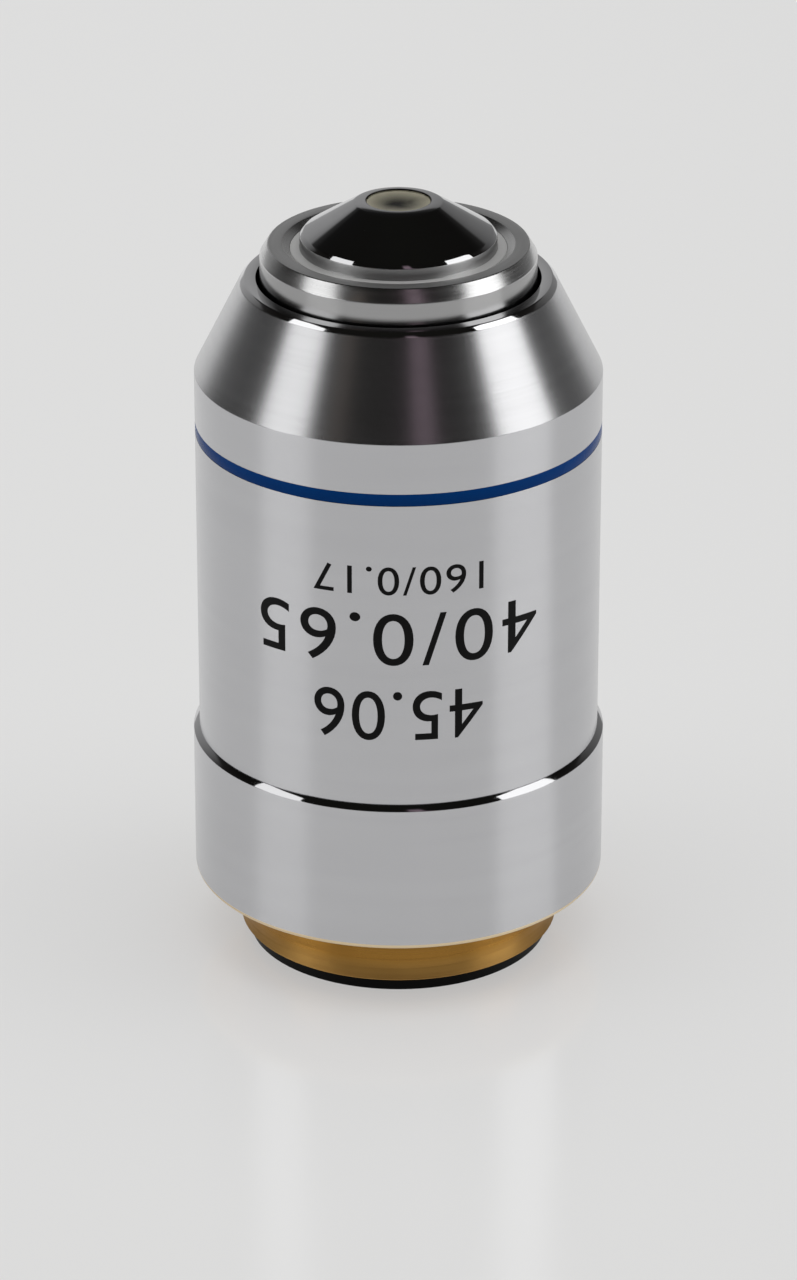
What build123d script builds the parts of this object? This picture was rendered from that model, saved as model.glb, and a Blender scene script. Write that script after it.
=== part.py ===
from build123d import *
import math
import os

# Microscope objective with a spring loaded nose, in millimetres.
# The origin is on the optical axis, in the plane of the mounting shoulder.
# +Z points from the mounting thread to the front lens.

# Clearances
RUNNING_CLEARANCE = 0.05
SCREW_CLEARANCE = 0.05
CELL_CLEARANCE = 0.03
LENS_CLEARANCE = 0.02
CEMENT_GAP = 0.01
ENAMEL_GAP = 0.01

# Objective thread, 0.8 inch by 36 turns per inch
THREAD_RADIUS = 10.1
THREAD_LENGTH = 3.7
THREAD_END_CHAMFER = 0.1
THREAD_WALL = 2.1
PILOT_STEP = 0.4

# Brass mount inside the sleeves
MOUNT_FLANGE_THICKNESS = 2.0
BORE_STEP_ABOVE_WEB = 0.4
SCREW_BAND_LENGTH = 5.5
SCREW_BAND_STEP = 0.95
GUIDE_TUBE_LENGTH = 5.0
GUIDE_TUBE_WALL = 1.25

# Black stop at the rear end
REAR_FLANGE_THICKNESS = 0.9
REAR_FLANGE_STEP = 0.57
REAR_SPIGOT_LENGTH = 2.5
REAR_STOP_WALL = 2.25
REAR_STOP_FLARE = 1.2
SPANNER_SLOT_WIDTH = 1.2
SPANNER_SLOT_DEPTH = 0.5
SPANNER_SLOT_END_WALL = 1.0

# Wide sleeve below the seam
BASE_HEIGHT = 9.88
BASE_STEP = 0.375
BASE_TOP_CHAMFER_HEIGHT = 0.3
BASE_EDGE_BREAK = 0.15
BASE_WEB_THICKNESS = 1.5

# Long sleeve with its cone and lip
SLEEVE_LENGTH = 23.89
SLEEVE_SPIGOT_WALL = 1.45
SLEEVE_SEAT_STEP = 0.575
CONE_LENGTH = 6.01
LIP_WIDTH = 0.84
LIP_EDGE_BREAK = 0.38
STOP_DEPTH = 0.77
RING_GROOVE_BELOW_CONE = 3.19
RING_GROOVE_WIDTH = 0.77
RING_GROOVE_DEPTH = 0.2

# Sliding lens barrel and its spring
NOSE_TRAVEL = 2.5
TRAVEL_MARGIN = 0.3
BARREL_WALL = 1.7
BARREL_EDGE_BREAK = 0.3
COLLAR_THICKNESS = 1.5
NECK_WALL = 1.0
REAR_LEDGE_THICKNESS = 1.0
REAR_LEDGE_WIDTH = 1.6
SPRING_WIRE_RADIUS = 0.45
SPRING_TURNS = 5
SPRING_SEAT_CLEARANCE = 0.02
GUIDE_SCREW_RADIUS = 0.8
GUIDE_SLOT_DEPTH = 0.7
GUIDE_SLOT_CLEARANCE = 0.05
DRIVER_SLIT_WIDTH = 0.3
DRIVER_SLIT_DEPTH = 0.4

# Nose ring round the front cell
NOSE_GAP = 0.19
NOSE_WALL = 0.93
NOSE_PROJECTION = 2.21
NOSE_RING_ABOVE_STOP = 2.5
NOSE_CHAMFER_WIDTH = 0.56
NOSE_CHAMFER_HEIGHT = 0.79
NOSE_RIM_HEIGHT = 4.5
NOSE_RIM_EDGE_BREAK = 0.15
NOSE_RELIEF_DEPTH = 0.4
COUNTERSINK_WIDTH = 0.46
COUNTERSINK_DEPTH = 0.13
CLAMP_WIDTH = 0.9
CLAMP_THICKNESS = 0.86

# Front cell with its cone
FRONT_FLANGE_THICKNESS = 0.8
FRONT_SPIGOT_LENGTH = 1.5
FRONT_CELL_WALL = 1.7
FRONT_LEDGE_SLOPE_WIDTH = 0.6
FRONT_LEDGE_SLOPE_HEIGHT = 0.11
FRONT_COLLAR_HEIGHT = 0.55
FRONT_EDGE_WIDTH = 0.15
FRONT_EDGE_HEIGHT = 0.14
FRONT_CONE_HEIGHT = 2.04
TIP_RADIUS = 2.66
TIP_WALL = 0.7
FRONT_LENS_RECESS = 0.15
FRONT_LENS_THICKNESS = 1.9
FRONT_LENS_REAR_CURVE = -3.2
FRONT_LENS_FRONT_CURVE = -7.0
FRONT_SEAT_WIDTH = 0.4
FRONT_SEAT_THICKNESS = 0.42

# Lens cells in the barrel. Thicknesses and curves run from the rear to the front, and a
# curve is the radius of a surface, positive where that surface bulges to the front.
CELL_WALL = 1.57
LENS_LEDGE_WIDTH = 0.5
LENS_LEDGE_THICKNESS = 0.5
CELL_RIM_HEIGHT = 0.5
SPACER_WALL = 1.4
SECOND_LENS_RADIUS = 4.4
SECOND_THICKNESSES = (2.0,)
SECOND_CURVES = (-6.5, -13.0)
FRONT_DOUBLET_RADIUS = 4.8
FRONT_DOUBLET_THICKNESSES = (0.9, 3.0)
FRONT_DOUBLET_CURVES = (-18.0, -10.0, 16.0)
TRIPLET_RADIUS = 5.0
TRIPLET_THICKNESSES = (2.7, 0.8, 2.7)
TRIPLET_CURVES = (-16.0, 14.0, -14.0, 16.0)
REAR_DOUBLET_RADIUS = 4.8
REAR_DOUBLET_THICKNESSES = (2.7, 0.9)
REAR_DOUBLET_CURVES = (-16.0, 12.0, 26.0)
FLATTENER_RADIUS = 4.6
FLATTENER_THICKNESSES = (0.9, 2.4)
FLATTENER_CURVES = (9.0, -14.0, 14.0)

# Radii of the thread, then radii worked outwards from the widest lens
thread_bore = THREAD_RADIUS - THREAD_WALL
pilot_radius = THREAD_RADIUS + PILOT_STEP
web_bore = pilot_radius + SCREW_CLEARANCE
cell_radius = TRIPLET_RADIUS + CELL_WALL
barrel_bore = cell_radius + CELL_CLEARANCE
barrel_radius = barrel_bore + BARREL_WALL
guide_bore = barrel_radius + RUNNING_CLEARANCE
guide_tube_radius = guide_bore + GUIDE_TUBE_WALL
band_radius = guide_tube_radius + SCREW_BAND_STEP
sleeve_bore = band_radius + SCREW_CLEARANCE
spigot_radius = sleeve_bore + SLEEVE_SPIGOT_WALL
sleeve_radius = spigot_radius + SLEEVE_SEAT_STEP
base_bore = spigot_radius + SCREW_CLEARANCE
base_radius = sleeve_radius + BASE_STEP
collar_radius = sleeve_bore - RUNNING_CLEARANCE
neck_radius = barrel_bore + NECK_WALL
nose_bore = neck_radius + SCREW_CLEARANCE
nose_radius = nose_bore + NOSE_WALL
front_bore = nose_radius + NOSE_GAP
lip_radius = front_bore + LIP_WIDTH
front_flange_radius = neck_radius - SCREW_CLEARANCE
skirt_radius = front_flange_radius - CLAMP_WIDTH
nose_mouth_radius = skirt_radius + SCREW_CLEARANCE
front_lens_radius = TIP_RADIUS - TIP_WALL
spring_radius = (guide_bore + guide_tube_radius) / 2

# Heights along the axis
thread_end_z = -THREAD_LENGTH
rear_end_z = thread_end_z - REAR_FLANGE_THICKNESS
rear_stop_top_z = thread_end_z + REAR_SPIGOT_LENGTH
bore_step_z = BASE_WEB_THICKNESS + BORE_STEP_ABOVE_WEB
sleeve_bottom_z = BASE_WEB_THICKNESS + MOUNT_FLANGE_THICKNESS
band_top_z = sleeve_bottom_z + SCREW_BAND_LENGTH
guide_top_z = band_top_z + GUIDE_TUBE_LENGTH
guide_screw_z = band_top_z + GUIDE_TUBE_LENGTH / 2
cone_base_z = BASE_HEIGHT + SLEEVE_LENGTH
lip_z = cone_base_z + CONE_LENGTH
stop_z = cone_base_z - STOP_DEPTH
collar_bottom_z = stop_z - COLLAR_THICKNESS
ring_top_z = cone_base_z - RING_GROOVE_BELOW_CONE
ring_bottom_z = ring_top_z - RING_GROOVE_WIDTH
nose_flat_z = lip_z + NOSE_PROJECTION
nose_bottom_z = stop_z + NOSE_RING_ABOVE_STOP
nose_mouth_z = nose_flat_z - COUNTERSINK_DEPTH
clamp_z = nose_mouth_z - CLAMP_THICKNESS
neck_top_z = clamp_z - FRONT_FLANGE_THICKNESS
front_cell_bottom_z = neck_top_z - FRONT_SPIGOT_LENGTH
nose_rim_z = nose_flat_z - NOSE_RIM_HEIGHT
front_collar_z = nose_mouth_z + FRONT_LEDGE_SLOPE_HEIGHT
front_collar_top_z = front_collar_z + FRONT_COLLAR_HEIGHT
front_cone_base_z = front_collar_top_z + FRONT_EDGE_HEIGHT
tip_z = front_cone_base_z + FRONT_CONE_HEIGHT
barrel_rear_z = bore_step_z + NOSE_TRAVEL + TRAVEL_MARGIN
stack_bottom_z = barrel_rear_z + REAR_LEDGE_THICKNESS


def turned(points):
    """A solid of revolution about Z from a closed outline of (radius, height) corners."""
    outline = Polyline(*[(radius, 0, z) for radius, z in points], close=True)
    return revolve(make_face(outline), axis=Axis.Z)


def sag(curve, radius):
    """How far a spherical surface falls back at a radius, negative where it rises."""
    depth = abs(curve) - math.sqrt(curve ** 2 - radius ** 2)
    return math.copysign(depth, curve)


def lens(radius, rear_z, thickness, rear_curve, front_curve):
    """A lens with spherical faces, given by the height of its rear vertex."""
    front_z = rear_z + thickness
    rear_middle = (radius / 2, 0, rear_z - sag(rear_curve, radius / 2))
    rear_edge = (radius, 0, rear_z - sag(rear_curve, radius))
    front_middle = (radius / 2, 0, front_z - sag(front_curve, radius / 2))
    front_edge = (radius, 0, front_z - sag(front_curve, radius))
    outline = [
        ThreePointArc((0, 0, rear_z), rear_middle, rear_edge),
        Line(rear_edge, front_edge),
        ThreePointArc(front_edge, front_middle, (0, 0, front_z)),
        Line((0, 0, front_z), (0, 0, rear_z)),
    ]
    return revolve(make_face(outline), axis=Axis.Z)


def lens_group(lens_radius, thicknesses, curves):
    """A cell that stands on height 0, its cemented lenses from rear to front, and its height.

    The rear lens rests on the cell's ledge: on the ledge's inner edge where it bulges to
    the rear, and on its own rim where it is hollow.
    """
    ledge_radius = lens_radius - LENS_LEDGE_WIDTH
    contact_radius = ledge_radius if curves[0] < 0 else lens_radius
    ledge_z = LENS_LEDGE_THICKNESS + max(0.0, -sag(curves[0], ledge_radius))
    vertex_z = ledge_z + sag(curves[0], contact_radius)
    lenses = []
    for thickness, rear_curve, front_curve in zip(thicknesses, curves, curves[1:]):
        lenses.append(lens(lens_radius, vertex_z, thickness, rear_curve, front_curve))
        vertex_z += thickness + CEMENT_GAP
    lens_top_z = vertex_z - CEMENT_GAP + max(0.0, -sag(curves[-1], lens_radius))
    height = lens_top_z + CELL_RIM_HEIGHT
    seat_radius = lens_radius + LENS_CLEARANCE
    cell = turned([
        (ledge_radius, 0),
        (cell_radius, 0),
        (cell_radius, height),
        (seat_radius, height),
        (seat_radius, ledge_z),
        (ledge_radius, ledge_z),
    ])
    return cell, lenses, height


def spacer(bottom_z, length):
    """A plain tube between two cells."""
    bore = cell_radius - SPACER_WALL
    return turned([
        (bore, bottom_z),
        (cell_radius, bottom_z),
        (cell_radius, bottom_z + length),
        (bore, bottom_z + length),
    ])


def make_thread_mount():
    """Brass insert: thread, flange between the sleeves, screw band and guide tube."""
    flange_radius = base_bore - SCREW_CLEARANCE
    body = turned([
        (thread_bore, thread_end_z),
        (THREAD_RADIUS - THREAD_END_CHAMFER, thread_end_z),
        (THREAD_RADIUS, thread_end_z + THREAD_END_CHAMFER),
        (THREAD_RADIUS, 0),
        (pilot_radius, 0),
        (pilot_radius, BASE_WEB_THICKNESS),
        (flange_radius, BASE_WEB_THICKNESS),
        (flange_radius, sleeve_bottom_z),
        (band_radius, sleeve_bottom_z),
        (band_radius, band_top_z),
        (guide_tube_radius, band_top_z),
        (guide_tube_radius, guide_top_z),
        (guide_bore, guide_top_z),
        (guide_bore, bore_step_z),
        (thread_bore, bore_step_z),
    ])
    screw_hole = Pos(guide_tube_radius, 0, guide_screw_z) * Rot(0, 90, 0) * Cylinder(
        GUIDE_SCREW_RADIUS + SCREW_CLEARANCE, 3 * GUIDE_TUBE_WALL)
    return body - screw_hole


def make_base_sleeve():
    """Wide sleeve with the mounting shoulder as its underside."""
    return turned([
        (web_bore, 0),
        (base_radius - BASE_EDGE_BREAK, 0),
        (base_radius, BASE_EDGE_BREAK),
        (base_radius, BASE_HEIGHT - BASE_TOP_CHAMFER_HEIGHT),
        (sleeve_radius, BASE_HEIGHT),
        (base_bore, BASE_HEIGHT),
        (base_bore, BASE_WEB_THICKNESS),
        (web_bore, BASE_WEB_THICKNESS),
    ])


def make_outer_sleeve():
    """Long sleeve: spigot in the base sleeve, barrel with a ring groove, cone and lip."""
    groove_radius = sleeve_radius - RING_GROOVE_DEPTH
    cone_slope = (sleeve_radius - lip_radius) / CONE_LENGTH
    return turned([
        (sleeve_bore, sleeve_bottom_z),
        (spigot_radius, sleeve_bottom_z),
        (spigot_radius, BASE_HEIGHT),
        (sleeve_radius, BASE_HEIGHT),
        (sleeve_radius, ring_bottom_z),
        (groove_radius, ring_bottom_z),
        (groove_radius, ring_top_z),
        (sleeve_radius, ring_top_z),
        (sleeve_radius, cone_base_z),
        (lip_radius + cone_slope * LIP_EDGE_BREAK, lip_z - LIP_EDGE_BREAK),
        (lip_radius - LIP_EDGE_BREAK / 2, lip_z),
        (front_bore, lip_z),
        (front_bore, stop_z),
        (sleeve_bore, stop_z),
    ])


def make_colour_ring():
    """Enamel that fills the groove of the long sleeve, flush with the barrel."""
    inner_radius = sleeve_radius - RING_GROOVE_DEPTH + ENAMEL_GAP
    return turned([
        (inner_radius, ring_bottom_z + ENAMEL_GAP),
        (sleeve_radius, ring_bottom_z + ENAMEL_GAP),
        (sleeve_radius, ring_top_z - ENAMEL_GAP),
        (inner_radius, ring_top_z - ENAMEL_GAP),
    ])


def make_rear_stop():
    """Black ring in the rear end: flange, flared aperture and two spanner slots."""
    spigot = thread_bore - SCREW_CLEARANCE
    flange_radius = THREAD_RADIUS - REAR_FLANGE_STEP
    aperture = spigot - REAR_STOP_WALL
    ring = turned([
        (aperture + REAR_STOP_FLARE, rear_end_z),
        (flange_radius, rear_end_z),
        (flange_radius, thread_end_z),
        (spigot, thread_end_z),
        (spigot, rear_stop_top_z),
        (aperture, rear_stop_top_z),
    ])
    slots = Pos(0, 0, rear_end_z) * Box(
        SPANNER_SLOT_WIDTH, 2 * (flange_radius - SPANNER_SLOT_END_WALL), 2 * SPANNER_SLOT_DEPTH)
    return ring - slots


def make_return_spring():
    """Open coil spring between the guide tube and the collar of the lens barrel."""
    bottom_z = guide_top_z + SPRING_SEAT_CLEARANCE + SPRING_WIRE_RADIUS
    top_z = collar_bottom_z - SPRING_SEAT_CLEARANCE - SPRING_WIRE_RADIUS
    height = top_z - bottom_z
    path = Helix(height / SPRING_TURNS, height, spring_radius)
    wire = Plane(origin=path @ 0, z_dir=path % 0) * Circle(SPRING_WIRE_RADIUS)
    return Pos(0, 0, bottom_z) * sweep(wire, path=path, is_frenet=True)


def make_guide_screw():
    """Headless screw through the guide tube, with its tip in the slot of the barrel."""
    tip_x = barrel_radius - GUIDE_SLOT_DEPTH + 2 * RUNNING_CLEARANCE
    head_x = guide_tube_radius - SCREW_CLEARANCE
    length = head_x - tip_x
    pin = Pos((tip_x + head_x) / 2, 0, guide_screw_z) * Rot(0, 90, 0) * Cylinder(
        GUIDE_SCREW_RADIUS, length)
    slit = Pos(head_x, 0, guide_screw_z) * Box(
        2 * DRIVER_SLIT_DEPTH, 3 * GUIDE_SCREW_RADIUS, DRIVER_SLIT_WIDTH)
    return pin - slit


def make_lens_barrel():
    """Sliding tube with the rear ledge, the stop collar, the neck and the guide slot."""
    rear_aperture = barrel_bore - REAR_LEDGE_WIDTH
    tube = turned([
        (rear_aperture, barrel_rear_z),
        (barrel_radius - BARREL_EDGE_BREAK, barrel_rear_z),
        (barrel_radius, barrel_rear_z + BARREL_EDGE_BREAK),
        (barrel_radius, collar_bottom_z),
        (collar_radius, collar_bottom_z),
        (collar_radius, stop_z),
        (neck_radius, stop_z),
        (neck_radius, neck_top_z),
        (barrel_bore, neck_top_z),
        (barrel_bore, stack_bottom_z),
        (rear_aperture, stack_bottom_z),
    ])
    slot_floor = Plane(
        origin=(barrel_radius - GUIDE_SLOT_DEPTH, 0, guide_screw_z + NOSE_TRAVEL / 2),
        x_dir=(0, 0, 1), z_dir=(1, 0, 0))
    slot_width = 2 * (GUIDE_SCREW_RADIUS + GUIDE_SLOT_CLEARANCE)
    slot = extrude(slot_floor * SlotCenterToCenter(NOSE_TRAVEL, slot_width), 2 * GUIDE_SLOT_DEPTH)
    return tube - slot


def make_nose_ring():
    """Ring on the neck of the barrel, with a wider rim, which clamps the front cell."""
    relief_radius = nose_radius - NOSE_RELIEF_DEPTH
    return turned([
        (nose_bore, nose_bottom_z),
        (relief_radius, nose_bottom_z),
        (relief_radius, nose_rim_z),
        (nose_radius - NOSE_RIM_EDGE_BREAK, nose_rim_z),
        (nose_radius, nose_rim_z + NOSE_RIM_EDGE_BREAK),
        (nose_radius, nose_flat_z - NOSE_CHAMFER_HEIGHT),
        (nose_radius - NOSE_CHAMFER_WIDTH, nose_flat_z),
        (nose_mouth_radius + COUNTERSINK_WIDTH, nose_flat_z),
        (nose_mouth_radius, nose_mouth_z),
        (nose_mouth_radius, clamp_z),
        (nose_bore, clamp_z),
    ])


def make_front_cell_and_lens():
    """Cone with the front lens seated on a ledge just behind the tip."""
    seat_radius = front_lens_radius + LENS_CLEARANCE
    ledge_radius = front_lens_radius - FRONT_SEAT_WIDTH
    lens_front_z = tip_z - FRONT_LENS_RECESS + sag(FRONT_LENS_FRONT_CURVE, front_lens_radius)
    lens_rear_z = lens_front_z - FRONT_LENS_THICKNESS
    ledge_z = lens_rear_z - sag(FRONT_LENS_REAR_CURVE, ledge_radius)
    front_collar_radius = skirt_radius - FRONT_LEDGE_SLOPE_WIDTH
    cell = turned([
        (cell_radius - FRONT_CELL_WALL, front_cell_bottom_z),
        (cell_radius, front_cell_bottom_z),
        (cell_radius, neck_top_z),
        (front_flange_radius, neck_top_z),
        (front_flange_radius, clamp_z),
        (skirt_radius, clamp_z),
        (skirt_radius, nose_mouth_z),
        (front_collar_radius, front_collar_z),
        (front_collar_radius, front_collar_top_z),
        (front_collar_radius - FRONT_EDGE_WIDTH, front_cone_base_z),
        (TIP_RADIUS, tip_z),
        (seat_radius, tip_z),
        (seat_radius, ledge_z),
        (ledge_radius, ledge_z),
        (ledge_radius, ledge_z - FRONT_SEAT_THICKNESS),
        (cell_radius - FRONT_CELL_WALL, neck_top_z),
    ])
    front_lens = lens(front_lens_radius, lens_rear_z, FRONT_LENS_THICKNESS,
                      FRONT_LENS_REAR_CURVE, FRONT_LENS_FRONT_CURVE)
    return cell, front_lens


def make_lens_stack():
    """The cells behind the front cell. The two spacers take up the length that is left."""
    groups = [
        ("flattener", FLATTENER_RADIUS, FLATTENER_THICKNESSES, FLATTENER_CURVES,
         ("flattener_rear", "flattener_front")),
        ("rear_doublet", REAR_DOUBLET_RADIUS, REAR_DOUBLET_THICKNESSES, REAR_DOUBLET_CURVES,
         ("rear_doublet_crown", "rear_doublet_flint")),
        ("triplet", TRIPLET_RADIUS, TRIPLET_THICKNESSES, TRIPLET_CURVES,
         ("triplet_rear", "triplet_middle", "triplet_front")),
        ("front_doublet", FRONT_DOUBLET_RADIUS, FRONT_DOUBLET_THICKNESSES, FRONT_DOUBLET_CURVES,
         ("front_doublet_flint", "front_doublet_crown")),
        ("second", SECOND_LENS_RADIUS, SECOND_THICKNESSES, SECOND_CURVES, ("second_lens",)),
    ]
    spacer_above = {"flattener": "spacer_rear", "rear_doublet": "spacer_front"}
    built = [(name, names, lens_group(radius, thicknesses, curves))
             for name, radius, thicknesses, curves, names in groups]
    cells_height = sum(height for _, _, (_, _, height) in built)
    spare = front_cell_bottom_z - stack_bottom_z - cells_height
    spacer_length = spare / len(spacer_above)
    stack = {}
    z = stack_bottom_z
    for name, lens_names, (cell, lenses, height) in built:
        stack[name + "_cell"] = Pos(0, 0, z) * cell
        for lens_name, glass in zip(lens_names, lenses):
            stack[lens_name] = Pos(0, 0, z) * glass
        z += height
        if name in spacer_above:
            stack[spacer_above[name]] = spacer(z, spacer_length)
            z += spacer_length
    return stack


front_cell, front_lens = make_front_cell_and_lens()
parts = {
    "thread_mount": make_thread_mount(),
    "base_sleeve": make_base_sleeve(),
    "outer_sleeve": make_outer_sleeve(),
    "colour_ring": make_colour_ring(),
    "rear_stop": make_rear_stop(),
    "return_spring": make_return_spring(),
    "guide_screw": make_guide_screw(),
    "lens_barrel": make_lens_barrel(),
    "nose_ring": make_nose_ring(),
    "front_cell": front_cell,
    "front_lens": front_lens,
    **make_lens_stack(),
}

os.makedirs("parts", exist_ok=True)
for name, solid in parts.items():
    export_step(solid, f"parts/{name}.step")
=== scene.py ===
"""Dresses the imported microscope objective: turned meshes, finishes, numerals, floor, light and camera."""

import math

import bmesh
import bpy
from mathutils import Matrix, Vector


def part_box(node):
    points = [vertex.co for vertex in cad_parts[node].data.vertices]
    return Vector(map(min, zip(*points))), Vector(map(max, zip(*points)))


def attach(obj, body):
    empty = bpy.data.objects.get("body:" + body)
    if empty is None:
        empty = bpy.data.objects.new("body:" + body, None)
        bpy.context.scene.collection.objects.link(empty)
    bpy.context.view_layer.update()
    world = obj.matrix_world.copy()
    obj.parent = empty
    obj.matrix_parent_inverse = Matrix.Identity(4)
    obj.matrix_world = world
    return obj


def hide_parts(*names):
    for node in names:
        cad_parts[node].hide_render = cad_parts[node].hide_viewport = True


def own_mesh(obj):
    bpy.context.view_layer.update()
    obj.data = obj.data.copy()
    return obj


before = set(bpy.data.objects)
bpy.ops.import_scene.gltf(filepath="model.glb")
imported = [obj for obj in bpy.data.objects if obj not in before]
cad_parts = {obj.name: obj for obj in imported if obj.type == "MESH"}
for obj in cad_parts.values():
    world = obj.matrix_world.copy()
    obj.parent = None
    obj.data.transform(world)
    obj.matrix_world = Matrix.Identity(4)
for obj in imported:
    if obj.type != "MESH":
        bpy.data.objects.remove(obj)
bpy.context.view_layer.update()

MM = 0.001
RING_STEPS = 192

# Heights and radii of the visible pieces in mm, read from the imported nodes
base_low, base_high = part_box("base_sleeve")
sleeve_low, sleeve_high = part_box("outer_sleeve")
ring_low, ring_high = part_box("colour_ring")
nose_low, nose_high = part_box("nose_ring")
cell_low, cell_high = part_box("front_cell")
mount_low, mount_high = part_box("thread_mount")
rear_low, rear_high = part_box("rear_stop")

BASE_RADIUS = base_high[0] / MM
BASE_TOP = base_high[2] / MM
SLEEVE_RADIUS = sleeve_high[0] / MM
SLEEVE_BOTTOM = sleeve_low[2] / MM
LIP = sleeve_high[2] / MM
RING_BOTTOM = ring_low[2] / MM
RING_TOP = ring_high[2] / MM
NOSE_RADIUS = nose_high[0] / MM
NOSE_BOTTOM = nose_low[2] / MM
NOSE_FLAT = nose_high[2] / MM
TIP = cell_high[2] / MM
CELL_BOTTOM = cell_low[2] / MM
THREAD_END = mount_low[2] / MM
GUIDE_TOP = mount_high[2] / MM
REAR_END = rear_low[2] / MM

# Base sleeve, in mm
BASE_BORE = 12.1
BASE_ROUNDING = 0.34
BASE_CHAMFER = 0.3
SHOULDER_BORE = 10.55
SHOULDER_TOP = 1.5

# Long sleeve with its cone and lip, and the ring in its groove
SPIGOT_RADIUS = 12.05
SLEEVE_BORE = 10.6
SLEEVE_BORE_TOP = 33.0
GROOVE_DEPTH = 0.2
RING_GAP = 0.01
RING_SINK = 0.005
CONE_LENGTH = 6.01
CONE_TOP_RADIUS = 9.61
LIP_BREAK = 0.27
LIP_FLAT_RADIUS = 9.46
LIP_BORE = 8.77
CONE_BASE = LIP - CONE_LENGTH
CONE_SLOPE = (SLEEVE_RADIUS - CONE_TOP_RADIUS) / CONE_LENGTH

# Nose ring
NOSE_BORE = 7.65
NOSE_HOLE = 6.66
NOSE_SEAT = 41.0
NOSE_FACE_RADIUS = 7.95
NOSE_CHAMFER_WIDTH = 0.5
NOSE_CHAMFER_HEIGHT = 0.79
COUNTERSINK_RADIUS = 7.16
COUNTERSINK_DEPTH = 0.29
NOSE_RIM = NOSE_FLAT - 4.5
NOSE_EDGE = NOSE_RADIUS - 0.06
NOSE_RELIEF_RADIUS = NOSE_RADIUS - 0.4

# Front cell and front lens
CELL_BORE = 4.87
CELL_RADIUS = 6.57
CELL_FLANGE_RADIUS = 7.55
CELL_FLANGE_BOTTOM = 40.2
LEDGE_RADIUS = NOSE_HOLE - 0.01
LEDGE_DEPTH = 0.24
COLLAR_RADIUS = 6.05
COLLAR_TOP = TIP - 2.22
CELL_CONE_RADIUS = 5.82
CELL_CONE_BOTTOM = TIP - 1.99
TIP_RADIUS = 2.72
TIP_EDGE = TIP - 0.09
TIP_CROWN = TIP + 0.04
LENS_RADIUS = 1.96
LENS_CLEARANCE = 0.02
LENS_HOLLOW = 20.0
LENS_DEPTH = 0.08
LENS_RIM = TIP - 0.06
LENS_STEPS = 20
LENS_SEAT = TIP - 1.92
LENS_SEAT_WIDTH = 0.4
LENS_SEAT_HEIGHT = 0.42

# Brass mount with its thread
MOUNT_RADIUS = 10.5
STEM_RADIUS = 10.55
STEM_TOP = 9.0
FLANGE_TOP = 3.5
REAR_BORE = 8.0
REAR_BORE_TOP = 1.9
GUIDE_BORE = 8.35
GUIDE_RADIUS = 9.6
THREAD_RADIUS = 10.1
THREAD_RUNOUT = 0.1
THREAD_TOP = -0.12
THREAD_DEPTH = 0.015
THREAD_PITCH = 0.7056
THREAD_TURNS = 9
THREAD_TURN_STEPS = 96

# Return spring, which the travel of the front shortens, wound up to the collar above it
SPRING_RADIUS = 8.975
SPRING_WIRE = 0.45
SPRING_TURNS = 5
SPRING_TURN_STEPS = 72
SPRING_GAP = 0.02
COLLAR_BOTTOM = 31.5

# Numerals: width of the flat strips that wrap them, how deep they sit and how thick they are
NUMERAL_STRIP = 0.35
NUMERAL_SINK = 0.04
NUMERAL_THICKNESS = 0.05

# Studio, in metres: floor, soft boxes, overhead light and camera
FLOOR_RADIUS = 4.0
FLOOR_DROP = 0.01 * MM
FLOOR_GLOW = 0.44
BOX_DISTANCE = 0.8
BOX_MIDDLE = 0.64
BOX_HEIGHT = 1.3
OVERHEAD_SIZE = 2.4
OVERHEAD_HEIGHT = 2.0
OVERHEAD_RADIANCE = 1.75
BACKDROP_TONE = 0.73
CAMERA_LENS = 152.97
CAMERA_PLACE = (0, -0.31242, 0.15790)
CAMERA_TILT = 24.539


# Turned shapes


def turned(corners, closed=True):
    """Spins an outline about the axis. A corner is (radius, height, rounding, steps), in mm."""
    shape = bmesh.new()
    points = [shape.verts.new((corner[0] * MM, 0, corner[1] * MM)) for corner in corners]
    lines = [shape.edges.new(pair) for pair in zip(points, points[1:])]
    if closed:
        lines.append(shape.edges.new((points[-1], points[0])))
    bmesh.ops.spin(shape, geom=points + lines, cent=(0, 0, 0), axis=(0, 0, 1), dvec=(0, 0, 0),
                   angle=2 * math.pi, steps=RING_STEPS, use_merge=True)
    bmesh.ops.remove_doubles(shape, verts=shape.verts, dist=1e-7)
    bmesh.ops.recalc_face_normals(shape, faces=shape.faces)
    for corner in corners:
        if len(corner) > 2 and corner[2]:
            round_ring(shape, *corner)
    return shape


def on_ring(point, radius, height):
    """Whether a point lies on the ring at a radius and a height in mm."""
    return abs(point.co.z - height * MM) < 2e-6 and abs(point.co.xy.length - radius * MM) < 2e-6


def round_ring(shape, radius, height, rounding, steps=3):
    """Rounds the ring edge at a radius and a height."""
    edges = [edge for edge in shape.edges if all(on_ring(point, radius, height) for point in edge.verts)]
    bmesh.ops.bevel(shape, geom=edges, offset=rounding * MM, offset_type="OFFSET", segments=steps,
                    profile=0.5, affect="EDGES", material=-1, clamp_overlap=True)


def piece(name, shape, materials, replaced, body, choose=None):
    """Makes an object of a finished shape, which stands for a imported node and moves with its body."""
    mesh = bpy.data.meshes.new(name)
    for material in materials:
        mesh.materials.append(material)
    for face in shape.faces:
        face.smooth = True
        if choose:
            face.material_index = choose(face)
    shape.to_mesh(mesh)
    shape.free()
    mesh.set_sharp_from_angle(angle=math.radians(38))
    obj = bpy.data.objects.new(name, mesh)
    bpy.context.collection.objects.link(obj)
    weighted = obj.modifiers.new("even shading", "WEIGHTED_NORMAL")
    weighted.keep_sharp = True
    if replaced:
        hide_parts(*replaced)
    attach(obj, body)
    return obj


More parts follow.
